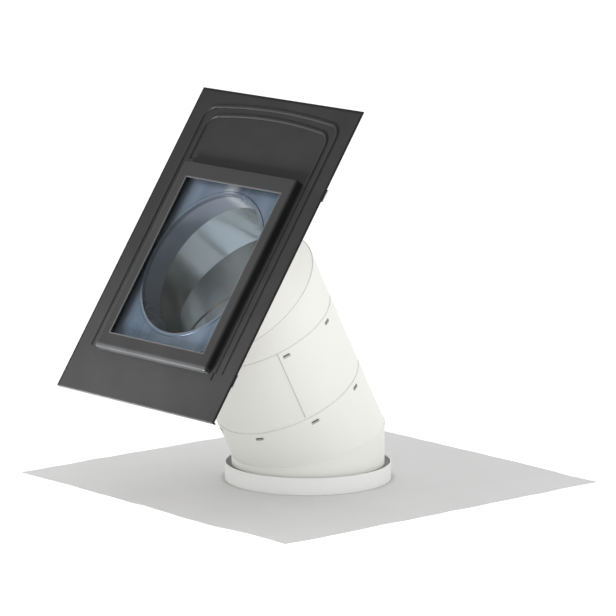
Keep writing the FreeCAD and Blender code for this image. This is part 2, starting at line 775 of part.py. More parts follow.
def ceiling_ring():
    """The ceiling ring: a dished flange, and a notched spigot whose lugs click into the tunnel."""
    body = new_body("ceiling_ring")
    spigot_inner = "spigot_radius - spigot_wall"
    spigot_foot = "flange_depth - flange_wall"
    shoulder = "flange_depth + spigot_straight"
    top = "flange_depth + spigot_height"
    turned(body, "ring_turn", [
        ("flange_radius", "flange_depth - flange_rim"), ("flange_radius", "flange_depth - 1"),
        ("flange_radius - 2", "flange_depth"), ("flange_land", "flange_depth"),
        ("flange_land", "flange_depth - flange_groove"), ("spigot_radius", "flange_depth - flange_groove"),
        ("spigot_radius", shoulder), ("spigot_top_radius", top), ("spigot_top_radius - spigot_wall", top),
        (spigot_inner, shoulder), (spigot_inner, spigot_foot), ("lens_seat", spigot_foot),
        ("lens_seat", "0"), ("lens_seat + flange_wall", "0"),
    ])
    centre = "flange_depth + mouth_gap + window_setback"
    catches(body, "spigot_lugs", "spigot_radius", centre, -1)
    notch = cut_through(body, "spigot_notch", "XZ_Plane", [
        ("-notch_width / 2", "flange_depth + notch_foot"), ("notch_width / 2", "flange_depth + notch_foot"),
        ("notch_width / 8", f"{top} + 5"), ("-notch_width / 8", f"{top} + 5"),
    ])
    around(body, notch, SPIGOT_PANELS // 2, 180 - 360 / SPIGOT_PANELS)
    reach = "spigot_radius * 0.75"
    ramp = cut_one_wall(body, "spigot_ramp", [
        (f"-{reach}", top), (reach, f"{top} - ramp_drop"), (reach, f"{top} + 5"), (f"-{reach}", f"{top} + 5"),
    ], "2 * spigot_radius", 180 / SPIGOT_PANELS)
    around(body, ramp, SPIGOT_PANELS)
    lug = pad(body, "lens_lug", "XZ_Plane", [
        ("lens_seat - lug_reach", "joint_gap"), ("lens_seat + flange_wall / 2", "joint_gap"),
        ("lens_seat + flange_wall / 2", f"{spigot_foot} - lens_seal - lens_rim - joint_gap"),
        ("lens_seat - lug_reach", f"{spigot_foot} - lens_seal - lens_rim - joint_gap"),
    ], "lug_width", 180 / LENS_LUGS)
    around(body, lug, LENS_LUGS)
    body.Placement.Base.z = -size("flange_depth")
    nodes["ceiling_ring"] = body


def lens():
    """The dished lens that diffuses the light, and the seal above its rim."""
    seat = "lens_seat - lens_clearance"
    round_out = "(lens_depth - lens_rim)"
    round_in = f"({round_out} - lens_wall)"
    body = new_body("diffuser_lens")
    turned(body, "lens_turn", [
        ("0", "0"),
        ("lens_flat", "0", f"lens_flat + {round_out} * sin(45 deg)", f"{round_out} * (1 - cos(45 deg))", round_out),
        (f"lens_flat + {round_out}", round_out), (seat, round_out), (seat, "lens_depth"),
        (f"lens_flat + {round_in}", "lens_depth"),
        (f"lens_flat + {round_in}", round_out,
         f"lens_flat + {round_in} * sin(45 deg)", f"{round_out} - {round_in} * cos(45 deg)", round_in),
        ("lens_flat", "lens_wall"), ("0", "lens_wall"),
    ])
    lens_top = -size("flange_wall") - size("lens_seal")
    body.Placement.Base.z = lens_top - size("lens_depth")
    nodes["diffuser_lens"] = body
    seal = new_body("lens_seal")
    turned(seal, "lens_seal_turn", [
        (f"{seat} - lens_seal_width", "0"), (seat, "0"), (seat, "lens_seal"), (f"{seat} - lens_seal_width", "lens_seal"),
    ])
    seal.Placement.Base.z = lens_top
    nodes["diffuser_seal"] = seal


membrane()
ceiling_ring()
lens()

# Checks, and one file for each piece

doc.recompute()
for item in doc.Objects:
    if "Invalid" in item.State or "Error" in item.State:
        raise RuntimeError(f"{item.Name} failed: {item.State}")
for name, item in nodes.items():
    item.Label = name
    if item.Shape.isNull() or not item.Shape.isValid() or not item.Shape.Solids:
        raise RuntimeError(f"{name} has no valid solid")

os.makedirs("parts", exist_ok=True)
for name, item in nodes.items():
    item.Shape.exportStep(f"parts/{name}.step")
    print(f"{name}: {len(item.Shape.Solids)} solid, {item.Shape.Volume / 1000:.1f} cm3")
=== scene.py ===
# %% [markdown]
# A tubular skylight, dressed for a studio picture
#
# The real object brings daylight from a pitched roof down to a ceiling. A dark sheet lies among the roof
# tiles, and a framed pane on it lets light into a mirror tray. From there a bright tunnel of two elbows and
# a tube leads down to a white ring with a dished lens. A square membrane seals the ceiling above that ring.
#
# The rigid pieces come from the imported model, at their real size. This lesson adds what metal-working
# drawings leave out: a limp membrane, the finish of each surface, light and a camera.

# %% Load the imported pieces
import math

import bmesh
import bpy
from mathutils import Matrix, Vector
from mathutils import noise


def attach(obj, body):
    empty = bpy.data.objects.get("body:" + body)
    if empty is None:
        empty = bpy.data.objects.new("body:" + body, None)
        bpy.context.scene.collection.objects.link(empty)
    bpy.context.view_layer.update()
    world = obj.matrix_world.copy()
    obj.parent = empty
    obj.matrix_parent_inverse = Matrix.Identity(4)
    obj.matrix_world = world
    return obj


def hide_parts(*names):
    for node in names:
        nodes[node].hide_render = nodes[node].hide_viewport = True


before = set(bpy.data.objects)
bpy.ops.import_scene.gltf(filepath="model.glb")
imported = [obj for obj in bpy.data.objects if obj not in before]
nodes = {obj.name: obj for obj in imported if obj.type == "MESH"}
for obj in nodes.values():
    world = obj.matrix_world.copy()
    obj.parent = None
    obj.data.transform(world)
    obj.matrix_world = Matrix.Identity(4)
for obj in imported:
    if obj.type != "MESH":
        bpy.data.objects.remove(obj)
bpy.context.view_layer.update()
print("pieces from the packed model:", len(nodes))

# %% [markdown]
# Where the slanted pieces stand
#
# Grain, streaks and brushed lines follow a piece, not the room. The straight tube leans 28 degrees towards
# the eave, and the roof unit and the upper leg lean 56 degrees. One point on each axis and its lean are
# enough for a Mapping node to turn a pattern onto a piece, so these few numbers come first.

# %% Name the axes of the slanted pieces
MM = 0.001
ROOF_LEAN = math.radians(56)
TUBE_LEAN = ROOF_LEAN / 2
LOWER_BEND = Vector((0, 0, 0.111))
UPPER_BEND = Vector((0, -0.18591, 0.46065))
ROOF_HOLE = Vector((0, -0.31192, 0.54564))
TUNNEL_RADIUS = 0.175
print("the upper bend lies", round((UPPER_BEND - LOWER_BEND).length, 3), "m above the lower bend")

# %% [markdown]
# The camera
#
# The picture was drawn with a long lens from a little above the eave, from the right-hand side. A short
# lens would make the sheet's near end look huge, so the camera stays nearly ten metres away and a lens of
# about 250 mm brings the object up to the frame's edges.

# %% Set up the camera
CAMERA_AZIMUTH = math.radians(49.3)
CAMERA_HEIGHT = math.radians(10.4)
CAMERA_DISTANCE = 9.65
FRAME_WIDTH = 1.40
SENSOR_WIDTH = 36
FAR_LIMIT = 60
AIM = Vector((0, 0, 0.409))

level = math.cos(CAMERA_HEIGHT)
towards_camera = Vector((
    math.sin(CAMERA_AZIMUTH) * level, -math.cos(CAMERA_AZIMUTH) * level, math.sin(CAMERA_HEIGHT)
))

camera_data = bpy.data.cameras.new("studio_camera")
camera_data.sensor_width = SENSOR_WIDTH
camera_data.lens = SENSOR_WIDTH * CAMERA_DISTANCE / FRAME_WIDTH
camera_data.clip_end = FAR_LIMIT
camera = bpy.data.objects.new("studio_camera", camera_data)
camera.location = AIM + towards_camera * CAMERA_DISTANCE
camera.rotation_euler = towards_camera.to_track_quat("Z", "Y").to_euler()
bpy.context.scene.collection.objects.link(camera)
bpy.context.scene.camera = camera
print("lens", round(camera_data.lens, 1), "mm")

# %% [markdown]
# Shader maths in plain expressions
#
# A finish is a recipe of small sums: a mask times a colour, a noise added to a roughness. Wiring each Math
# node by hand hides the recipe. A small class holds one socket and turns the signs + - * < > into nodes, so
# the recipe reads like arithmetic. One method on the finish adds every other kind of node.

# %% Wrap a socket so that sums on it make nodes


class Wire:
    """One output socket of a finish's node tree."""

    def __init__(self, finish, socket):
        self.finish = finish
        self.socket = socket

    def joined(self, operation, first, second):
        """A Math node on two values, each a wire or a number."""
        return self.finish.node("ShaderNodeMath", {"operation": operation}, {0: first, 1: second})

    def __add__(self, other):
        return self.joined("ADD", self, other)

    def __radd__(self, other):
        return self.joined("ADD", other, self)

    def __sub__(self, other):
        return self.joined("SUBTRACT", self, other)

    def __rsub__(self, other):
        return self.joined("SUBTRACT", other, self)

    def __mul__(self, other):
        return self.joined("MULTIPLY", self, other)

    def __rmul__(self, other):
        return self.joined("MULTIPLY", other, self)

    def __abs__(self):
        return self.joined("ABSOLUTE", self, 0.0)

    def __gt__(self, other):
        return self.joined("GREATER_THAN", self, other)

    def __lt__(self, other):
        return self.joined("LESS_THAN", self, other)


# %% Build a finish from nodes


class Finish:
    """A material whose nodes are all added by one method."""

    def __init__(self, name):
        self.material = bpy.data.materials.new(name)
        self.material.use_nodes = True
        self.tree = self.material.node_tree
        self.tree.nodes.clear()
        self.place = self.node("ShaderNodeTexCoord", {}, {}, "Object")

    def node(self, kind, settings, inputs, output=0):
        """Adds a node, sets it, fills its sockets with numbers, colours or wires, and returns one output."""
        node = self.tree.nodes.new(kind)
        for name, value in settings.items():
            setattr(node, name, value)
        for name, value in inputs.items():
            if isinstance(value, Wire):
                self.tree.links.new(value.socket, node.inputs[name])
            else:
                node.inputs[name].default_value = value
        return Wire(self, node.outputs[output])

    def placed(self, centre, lean, scale=(1, 1, 1)):
        """Object coordinates moved to a point, turned upright about the eave's direction, and stretched."""
        upright = self.node(
            "ShaderNodeMapping", {"vector_type": "TEXTURE"},
            {"Vector": self.place, "Location": centre, "Rotation": (lean, 0, 0)},
        )
        return self.node("ShaderNodeMapping", {"vector_type": "POINT"}, {"Vector": upright, "Scale": scale})

    def grain(self, where, scale, detail=2.0, roughness=0.5):
        """Soft noise from 0 to 1, with so many blobs to the metre."""
        sockets = {"Vector": where, "Scale": scale, "Detail": detail, "Roughness": roughness}
        return self.node("ShaderNodeTexNoise", {}, sockets, 0)

    def mixed(self, mask, without, with_mask):
        """Two colours mixed by a mask from 0 to 1."""
        settings = {"data_type": "RGBA", "clamp_factor": True}
        return self.node("ShaderNodeMix", settings, {0: mask, 6: without, 7: with_mask}, 2)

    def along(self, place, axis):
        """One coordinate of a place, in metres."""
        return self.node("ShaderNodeSeparateXYZ", {}, {0: place}, axis)

    def from_axis(self, place):
        """The distance from the upright axis of a place, in metres."""
        flat = self.node("ShaderNodeVectorMath", {"operation": "MULTIPLY"}, {0: place, 1: (1, 1, 0)})
        return self.node("ShaderNodeVectorMath", {"operation": "LENGTH"}, {0: flat}, "Value")

    def eased(self, value, low, high):
        """0 below low, 1 above high, and a smooth change between them."""
        settings = {"interpolation_type": "SMOOTHSTEP"}
        return self.node("ShaderNodeMapRange", settings, {"Value": value, "From Min": low, "From Max": high})

    def relief(self, height, strength, depth):
        """A bump of so many metres, for the shader's Normal."""
        sockets = {"Height": height, "Strength": strength, "Distance": depth}
        return self.node("ShaderNodeBump", {}, sockets)

    def surface(self, sockets):
        """The shader itself, joined to the output."""
        skin = self.node("ShaderNodeBsdfPrincipled", {}, sockets)
        output = self.tree.nodes.new("ShaderNodeOutputMaterial")
        self.tree.links.new(skin.socket, output.inputs["Surface"])
        return self.material


def coloured(red, green, blue):
    """An opaque colour."""
    return (red, green, blue, 1.0)


def wear(material, *names):
    """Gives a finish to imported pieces."""
    for name in names:
        nodes[name].data.materials.clear()
        nodes[name].data.materials.append(material)
    print(material.name, "on", ", ".join(names))


# %% [markdown]
# The roof sheet's moulded skin
#
# The sheet that the tiles lap over is a dark grey moulding with raised beads that steer the rain. Its skin
# has a fine leathery grain and a slow cloudiness from the mould, and the end near the eave is painted paler,
# a painted sheen for the sky that end catches. A photograph of grain would need an image, so two noises make
# it: one of about a millimetre for the grain, as bump only, and one of a few centimetres for the cloudiness,
# in colour and roughness. The hem along the eave gets a painted highlight, and a narrow near-black painted
# shadow line runs along the sides and the top, where the edges go under the tiles. Masks on the distance up
# the slope and across it find both.

# %% Finish the roof sheet
SHEET_DARK = coloured(0.007, 0.007, 0.0073)
SHEET_PALE = coloured(0.033, 0.033, 0.0337)
HEM_PAINTED_HIGHLIGHT = coloured(0.10, 0.10, 0.10)
HEM_EDGE = -0.3488
EDGE_PAINTED_SHADOW = coloured(0.0015, 0.0015, 0.0016)
SHADOW_LINE_SIDE = 0.2718
SHADOW_LINE_TOP = 0.4142
PALE_FOOT = -0.34
PALE_HEAD = 0.10
MOULD_CLOUDS = 14
MOULD_PORES = 900
HEM_HIGHLIGHT_PATCHES = 60

sheet_skin = Finish("moulded_sheet_skin")
on_sheet = sheet_skin.placed(ROOF_HOLE, ROOF_LEAN)
sheet_clouds = sheet_skin.grain(on_sheet, MOULD_CLOUDS, 3.0)
sheet_pores = sheet_skin.grain(on_sheet, MOULD_PORES, 2.0)
up_slope = sheet_skin.along(on_sheet, "Y")
# Painted sheen: the sheet is painted paler towards the eave, for the sky light that end catches.
eave_painted_sheen = 1 - sheet_skin.eased(up_slope, PALE_FOOT, PALE_HEAD)
cloud_and_sheen_mix = sheet_clouds * 0.30 + eave_painted_sheen * 0.40
# Painted highlight: the hem along the eave is painted paler, broken up by a noise.
hem_highlight_patches = sheet_skin.grain(on_sheet, HEM_HIGHLIGHT_PATCHES, 3.0)
hem_highlight_mask = (up_slope < HEM_EDGE) * (hem_highlight_patches * 0.6 + 0.4)
sheet_cloud_and_sheen = sheet_skin.mixed(cloud_and_sheen_mix, SHEET_DARK, SHEET_PALE)
# Painted shadow: a near-black line along the sheet's two sides and its top edge.
side_shadow_line = abs(sheet_skin.along(on_sheet, "X")) > SHADOW_LINE_SIDE
top_shadow_line = up_slope > SHADOW_LINE_TOP
sheet_with_hem_highlight = sheet_skin.mixed(hem_highlight_mask, sheet_cloud_and_sheen, HEM_PAINTED_HIGHLIGHT)
sheet_colour = sheet_skin.mixed(side_shadow_line + top_shadow_line, sheet_with_hem_highlight, EDGE_PAINTED_SHADOW)
wear(
    sheet_skin.surface({
        "Base Color": sheet_colour,
        "Roughness": sheet_clouds * 0.18 + 0.42,
        "Specular IOR Level": 0.16,
        "Normal": sheet_skin.relief(sheet_pores, 0.22, 0.25 * MM),
    }),
    "roof_sheet",
)

# %% [markdown]
# The lacquered covers
#
# Four mitred strips of folded sheet cover the pane's edge. They are lacquered the same dark grey, smoother
# than the moulding, with the slight orange peel that sprayed lacquer has. Its gloss lies in a thin clear
# layer, so the shader's own coat makes it, and a noise of about two millimetres ripples the reflections.
# The lip round the pane and the rounded nose along the bottom get painted highlights: a soft mask makes
# those two edges paler.

# %% Finish the covers
COVERS = ("cover_left", "cover_right", "cover_bottom", "cover_top")
LACQUER_DARK = coloured(0.0080, 0.0080, 0.0081)
LACQUER_PALE = coloured(0.0156, 0.0156, 0.0158)
LACQUER_PAINTED_HIGHLIGHT = coloured(0.066, 0.067, 0.069)
PANE_MIDDLE = -0.008
LIP_ACROSS = 0.164
LIP_UP = 0.1985
LIP_NEAR = 0.0012
LIP_FAR = 0.0036
NOSE = -0.2395
NOSE_FADE = 0.006
LACQUER_PEEL = 420
LACQUER_CLOUDS = 9

lacquer = Finish("dark_lacquer")
on_cover = lacquer.placed(ROOF_HOLE, ROOF_LEAN)
lacquer_peel = lacquer.grain(on_cover, LACQUER_PEEL, 1.0)
lacquer_clouds = lacquer.grain(on_cover, LACQUER_CLOUDS, 2.0)
from_middle = abs(lacquer.along(on_cover, "Y") - PANE_MIDDLE)
from_centreline = abs(lacquer.along(on_cover, "X"))
# Painted highlights: the lip round the pane and the rounded nose at the bottom are painted paler.
lip_highlight_sides = 1 - lacquer.eased(from_centreline, LIP_ACROSS + LIP_NEAR, LIP_ACROSS + LIP_FAR)
lip_highlight_ends = 1 - lacquer.eased(from_middle, LIP_UP + LIP_NEAR, LIP_UP + LIP_FAR)
nose_highlight = 1 - lacquer.eased(lacquer.along(on_cover, "Y"), NOSE, NOSE + NOSE_FADE)
edge_highlights = lip_highlight_sides * lip_highlight_ends * 0.75 + nose_highlight * (lacquer_clouds * 0.3 + 0.35)
lacquer_colour = lacquer.mixed(lacquer_clouds, LACQUER_DARK, LACQUER_PALE)
wear(
    lacquer.surface({
        "Base Color": lacquer.mixed(edge_highlights, lacquer_colour, LACQUER_PAINTED_HIGHLIGHT),
        "Roughness": lacquer_clouds * 0.12 + 0.34,
        "Specular IOR Level": 0.20,
        "Coat Weight": 0.08,
        "Coat Roughness": 0.22,
        "Normal": lacquer.relief(lacquer_peel, 0.08, 0.2 * MM),
    }),
    *COVERS,
)

# %% [markdown]
# The pane and its gaskets
#
# The pane is clear toughened glass, 4 mm thick. Full transmission would bend the light, and a renderer then
# finds the tray below only by chance, which leaves blotches. A flat pane hardly bends anything, so a low
# alpha lets the light straight through, and what is left of the surface gives a faint smoky tint and the
# reflection. Its colour is nearly black, because a pale one would scatter light like a haze and bring the
# blotches back. The gaskets are black rubber that has gone a little chalky.

# %% Finish the pane and the gaskets
PANE_SMOKE = coloured(0.012, 0.016, 0.018)
RUBBER_BLACK = coloured(0.012, 0.012, 0.012)
RUBBER_CHALKY = coloured(0.035, 0.035, 0.036)

glass = Finish("clear_glass")
glass_haze = glass.grain(glass.place, 6, 2.0)
wear(
    glass.surface({
        "Base Color": PANE_SMOKE,
        "Roughness": glass_haze * 0.03 + 0.02,
        "IOR": 1.5,
        "Specular IOR Level": 0.9,
        "Alpha": glass_haze * 0.04 + 0.07,
    }),
    "glass_pane",
)

rubber = Finish("chalky_rubber")
rubber_dust = rubber.grain(rubber.place, 160, 3.0)
wear(
    rubber.surface({
        "Base Color": rubber.mixed(rubber_dust, RUBBER_BLACK, RUBBER_CHALKY),
        "Roughness": rubber_dust * 0.2 + 0.6,
        "Normal": rubber.relief(rubber_dust, 0.15, 0.2 * MM),
    }),
    "glass_seat_gasket", "glass_top_gasket", "diffuser_seal",
)

# %% [markdown]
# The mirror tray
#
# Under the pane lies a tray of mirror-coated sheet with a spout into the tunnel. Its colour carries painted
# reflections: a dusky blue-grey, with long soft streaks that run down the slope. The streaks are one noise,
# stretched along the slope by a Mapping node, which both paints the streaks into the mirror's tint and dulls
# it slightly. The coating also scatters some light, so the tray is seven tenths metal. One broad pale band,
# a painted reflection of the brightest part of the sky, crosses it above the hole. The spout's wall is
# greyer. Its rim is rolled: a painted highlight draws a pale ring round the hole, and painted shade a dark
# line in the crease on each side of that ring.

# %% Finish the mirror tray
TRAY_REFLECTED_DUSK = coloured(0.078, 0.114, 0.162)
TRAY_STREAK_REFLECTION = coloured(0.132, 0.172, 0.222)
TRAY_SKY_REFLECTION = coloured(0.46, 0.49, 0.53)
SPOUT_GREY = coloured(0.225, 0.243, 0.282)
BAND_PLACE = -0.035
BAND_HALF = 0.034
BAND_SLANT = 0.10
BAND_FOOT = 0.05
BAND_HEAD = 0.16
STREAK_STRETCH = (9, 1.3, 3)
RIM_PAINTED_HIGHLIGHT = coloured(0.125, 0.152, 0.192)
CREASE_PAINTED_SHADE = coloured(0.030, 0.040, 0.058)
SPOUT_INNER = 0.1727
THROAT_MARGIN = 0.0004
FLANGE_CREASE = 0.1808
CREASE_HALF = 0.0013
FLANGE_FOOT = 0.0005
RIM_NEAR = 0.003
RIM_FAR = 0.006
THROAT_DEPTH = 0.009
THROAT_TOP = 0.0002

tray_mirror = Finish("tray_mirror")
on_tray = tray_mirror.placed(ROOF_HOLE, ROOF_LEAN, STREAK_STRETCH)
tray_streaks = tray_mirror.grain(on_tray, 1.6, 3.0, 0.55)
tray_bands = tray_mirror.eased(tray_streaks, 0.36, 0.68)
tray_flat = tray_mirror.placed(ROOF_HOLE, ROOF_LEAN)
tray_across = tray_mirror.along(tray_flat, "X")
tray_up = tray_mirror.along(tray_flat, "Y")
tray_rise = tray_mirror.along(tray_flat, "Z")
# Painted reflection: a broad pale band of sky across the tray above the hole.
band_drift = tray_across - tray_up * BAND_SLANT - BAND_PLACE
above_hole = tray_mirror.eased(tray_up, BAND_FOOT, BAND_HEAD)
sky_band = (1 - tray_mirror.eased(abs(band_drift), 0.0, BAND_HALF)) * above_hole
below_sheet = tray_rise < 0.0
# Painted reflections: the dusky tint and its soft streaks down the slope.
tray_streak_reflections = tray_mirror.mixed(tray_bands, TRAY_REFLECTED_DUSK, TRAY_STREAK_REFLECTION)
tray_tint = tray_mirror.mixed(below_sheet * 0.8, tray_streak_reflections, SPOUT_GREY)
tray_with_sky_reflection = tray_mirror.mixed(sky_band * 0.85, tray_tint, TRAY_SKY_REFLECTION)
tray_radius = tray_mirror.from_axis(tray_flat)
# Painted highlight: a pale ring on the rolled rim round the hole.
near_rim = 1 - tray_mirror.eased(tray_radius, SPOUT_INNER + RIM_NEAR, SPOUT_INNER + RIM_FAR)
rim_highlight = (tray_rise > FLANGE_FOOT) * near_rim
# Painted shade: dark lines in the throat below the rim and in the crease at the flange's edge.
in_throat = (tray_rise > -THROAT_DEPTH) * (tray_rise < THROAT_TOP)
throat_shade = in_throat * (tray_radius < SPOUT_INNER + THROAT_MARGIN)
flange_shade = abs(tray_radius - FLANGE_CREASE) < CREASE_HALF
crease_shades = throat_shade * 0.6 + flange_shade * 0.8
tray_with_rim_highlight = tray_mirror.mixed(rim_highlight, tray_with_sky_reflection, RIM_PAINTED_HIGHLIGHT)
wear(
    tray_mirror.surface({
        "Base Color": tray_mirror.mixed(crease_shades, tray_with_rim_highlight, CREASE_PAINTED_SHADE),
        "Metallic": 0.7,
        "Roughness": tray_bands * 0.12 + 0.26,
    }),
    "mirror_tray",
)

# %% [markdown]
# The tunnel: enamel outside, mirror inside
#
# Each tunnel piece is one sheet of aluminium with two different faces. Outside it has an off-white enamel,
# and inside a mirror film. Splitting the mesh would break the imported piece, so a mask tells the faces
# apart: the distance from the piece's axis is under the tunnel's radius only on the inside. Just above each
# rim the wall tapers in to slip into the piece below, and there the mask's limit tapers with it. The
# catches that click through the windows are bare grey metal. They stand out past the radius near a joint,
# and so does the lock seam down the tube, which keeps its enamel and has a grey painted shadow line along
# one edge of its fold.

# %% Write one recipe for every tunnel piece
ENAMEL_WARM = coloured(0.875, 0.88, 0.835)
ENAMEL_COOL = coloured(0.84, 0.84, 0.80)
FILM_BRIGHT = coloured(0.76, 0.75, 0.72)
BARE_METAL = coloured(0.17, 0.17, 0.165)
SHEET_WALL = 0.001
SWAGE_TAPER = 0.005
SWAGE_STEP = 0.0013
CATCH_HALF = 0.0055
PROUD_LEAST = 0.0002
ROLLED_STRETCH = (1, 1, 0.12)
LOCK_ANGLE = math.radians(-29)
LOCK_HALF = 0.003
LOCK_MARGIN = 0.0005
SEAM_SHADOW_WIDTH = 0.0022
SEAM_PAINTED_SHADOW = coloured(0.56, 0.56, 0.53)
LOW_RIM = 0.137
HIGH_RIM = 0.318
SEAM_SHADOW_START = LOW_RIM + 0.006
WINDOW_SETBACK = 0.015


def tunnel_finish(name, centre, lean, catches, rims):
    """Enamel outside, mirror film inside, bare catches, and a swage above each rim along the axis."""
    finish = Finish(name)
    upright = finish.placed(centre, lean)
    radius = finish.from_axis(upright)
    height = finish.along(upright, "Z")
    mid_wall = TUNNEL_RADIUS - SHEET_WALL / 2
    for rim in rims:
        above = (height - rim) * (1 / SWAGE_TAPER)
        mid_wall = mid_wall - (above > 0) * (above < 1) * (1 - above) * SWAGE_STEP
    outside = radius > mid_wall
    across = finish.along(upright, "X")
    forth = finish.along(upright, "Y")
    beside_lock = forth * math.cos(LOCK_ANGLE) - across * math.sin(LOCK_ANGLE)
    lock_side = (across * math.cos(LOCK_ANGLE) + forth * math.sin(LOCK_ANGLE)) > 0.0
    on_lock = lock_side * (abs(beside_lock) < LOCK_HALF + LOCK_MARGIN)
    # Painted shadow: a grey line along one edge of the lock seam's fold, on the outside only.
    on_edge = on_lock * (beside_lock > LOCK_HALF - SEAM_SHADOW_WIDTH)
    seam_shadow_line = on_edge * (height > SEAM_SHADOW_START) * (height < HIGH_RIM) * outside
    proud = (radius > TUNNEL_RADIUS + PROUD_LEAST) * (1 - on_lock)
    catch = sum(proud * (abs(height - place) < CATCH_HALF) for place in catches)
    rolled = finish.grain(finish.placed(centre, lean, ROLLED_STRETCH), 60, 2.0)
    clouds = finish.grain(upright, 7, 2.0)
    enamel = finish.mixed(clouds, ENAMEL_COOL, ENAMEL_WARM)
    metal = finish.mixed(outside, FILM_BRIGHT, enamel)
    seam_shadowed = finish.mixed(seam_shadow_line, metal, SEAM_PAINTED_SHADOW)
    return finish.surface({
        "Base Color": finish.mixed(catch, seam_shadowed, BARE_METAL),
        "Metallic": 1 - outside + catch * 0.8,
        "Roughness": outside * 0.30 + 0.14 + rolled * 0.06,
        "Specular IOR Level": 0.4,
        "Normal": finish.relief(rolled, 0.05, 0.3 * MM),
    })


# %% Finish the tunnel pieces
tube_catches = (LOW_RIM - WINDOW_SETBACK, HIGH_RIM - WINDOW_SETBACK)
tube_material = tunnel_finish("tube_enamel", LOWER_BEND, TUBE_LEAN, tube_catches, (LOW_RIM, HIGH_RIM))
wear(tube_material, "straight_tube", "lower_elbow_upper_shell", "upper_elbow_lower_shell")
wear(tunnel_finish("upright_enamel", Vector((0, 0, 0)), 0.0, (), ()), "lower_elbow_lower_shell")
wear(tunnel_finish("upper_leg_enamel", UPPER_BEND, ROOF_LEAN, (), ()), "upper_elbow_upper_shell")

# %% [markdown]
# White and off-white plastic
#
# The ring under the roof sheet, the membrane's collar and the ceiling ring are injection mouldings. The
# ceiling ring is the piece that people see in the room, so it is the glossiest. The others have a duller
# skin. All three share one recipe with different numbers: a faint cloudiness and a moulded skin too fine to
# count.

# %% Finish the plastic rings


def plastic_finish(name, pale, shaded, roughness, pore_strength):
    """A moulded plastic that goes slowly from pale to shaded, with fine pores."""
    finish = Finish(name)
    clouds = finish.grain(finish.place, 11, 2.0)
    pores = finish.grain(finish.place, 700, 1.0)
    return finish.surface({
        "Base Color": finish.mixed(clouds, shaded, pale),
        "Roughness": clouds * 0.08 + roughness,
        "Specular IOR Level": 0.5,
        "Normal": finish.relief(pores, pore_strength, 0.15 * MM),
    })


wear(
    plastic_finish("ring_plastic", coloured(0.78, 0.78, 0.765), coloured(0.71, 0.71, 0.70), 0.38, 0.10),
    "tunnel_ring",
)
wear(
    plastic_finish("collar_plastic", coloured(0.90, 0.90, 0.885), coloured(0.85, 0.85, 0.84), 0.45, 0.14),
    "membrane_collar",
)
wear(
    plastic_finish("ceiling_white", coloured(0.82, 0.82, 0.82), coloured(0.77, 0.77, 0.775), 0.24, 0.05),
    "ceiling_ring",
)

# %% [markdown]
# The dished lens
#
# The lens is pale blue translucent plastic that spreads the light. Daylight from the tunnel makes it glow a
# little. A half transmission with a frosted roughness lets the ring behind it show as a blur, and a weak
# emission stands for the daylight that comes down the tunnel.

# %% Finish the lens
LENS_BLUE = coloured(0.74, 0.87, 0.985)

lens = Finish("frosted_lens")
lens_frost = lens.grain(lens.place, 480, 2.0)
lens_clouds = lens.grain(lens.place, 8, 2.0)
wear(
    lens.surface({
        "Base Color": lens.mixed(lens_clouds, LENS_BLUE, coloured(0.82, 0.92, 1.0)),
        "Roughness": lens_frost * 0.12 + 0.30,
        "IOR": 1.45,
        "Transmission Weight": 0.55,
        "Emission Color": LENS_BLUE,
        "Emission Strength": 0.10,
        "Normal": lens.relief(lens_frost, 0.10, 0.2 * MM),
    }),
    "diffuser_lens",
)

# %% [markdown]
# Hidden pieces: foam, timber, brackets and screws
#
# These show only from behind or below. Closed-cell foam is a field of tiny bubbles, which a Voronoi pattern
# gives. Planed softwood shows its growth rings as long wavy lines, so a wave pattern and a soft noise are
# both stretched down the slope and mixed. Galvanised steel has the patchwork of zinc crystals called
# spangle, which is Voronoi again, on a larger scale.

# %% Finish the foam and the timber


def cells(finish, scale, output):
    """A Voronoi pattern with so many cells to the metre."""
    sockets = {"Vector": finish.place, "Scale": scale}
    return finish.node("ShaderNodeTexVoronoi", {"feature": "F1"}, sockets, output)


FOAM_DARK = coloured(0.16, 0.16, 0.165)
FOAM_PALE = coloured(0.26, 0.26, 0.265)
LATE_WOOD = coloured(0.56, 0.39, 0.22)
EARLY_WOOD = coloured(0.72, 0.56, 0.36)

foam = Finish("closed_cell_foam")
foam_cells = cells(foam, 900, "Distance")
wear(
    foam.surface({
        "Base Color": foam.mixed(foam_cells, FOAM_DARK, FOAM_PALE),
        "Roughness": 0.86,
        "Normal": foam.relief(foam_cells, 0.5, 0.4 * MM),
    }),
    "ring_seal", "collar_seal",
)

timber = Finish("planed_softwood")
along_side = timber.placed(ROOF_HOLE, ROOF_LEAN, (1, 0.06, 1))
timber_sway = timber.grain(timber.placed(ROOF_HOLE, ROOF_LEAN, (1, 0.2, 1)), 9, 2.0)
timber_rings = timber.node(
    "ShaderNodeTexWave", {"wave_type": "RINGS", "rings_direction": "Y"},
    {"Vector": along_side, "Scale": 34, "Distortion": 2.4, "Detail": 2.0},
)
timber_mask = timber_rings * 0.6 + timber_sway * 0.4
wear(
    timber.surface({
        "Base Color": timber.mixed(timber_mask, LATE_WOOD, EARLY_WOOD),
        "Roughness": timber_mask * 0.15 + 0.55,
        "Normal": timber.relief(timber_rings, 0.10, 0.2 * MM),
    }),
    "base_frame",
)

# %% Finish the brackets and the screws
ZINC_DARK = coloured(0.44, 0.45, 0.46)
ZINC_BRIGHT = coloured(0.60, 0.61, 0.62)

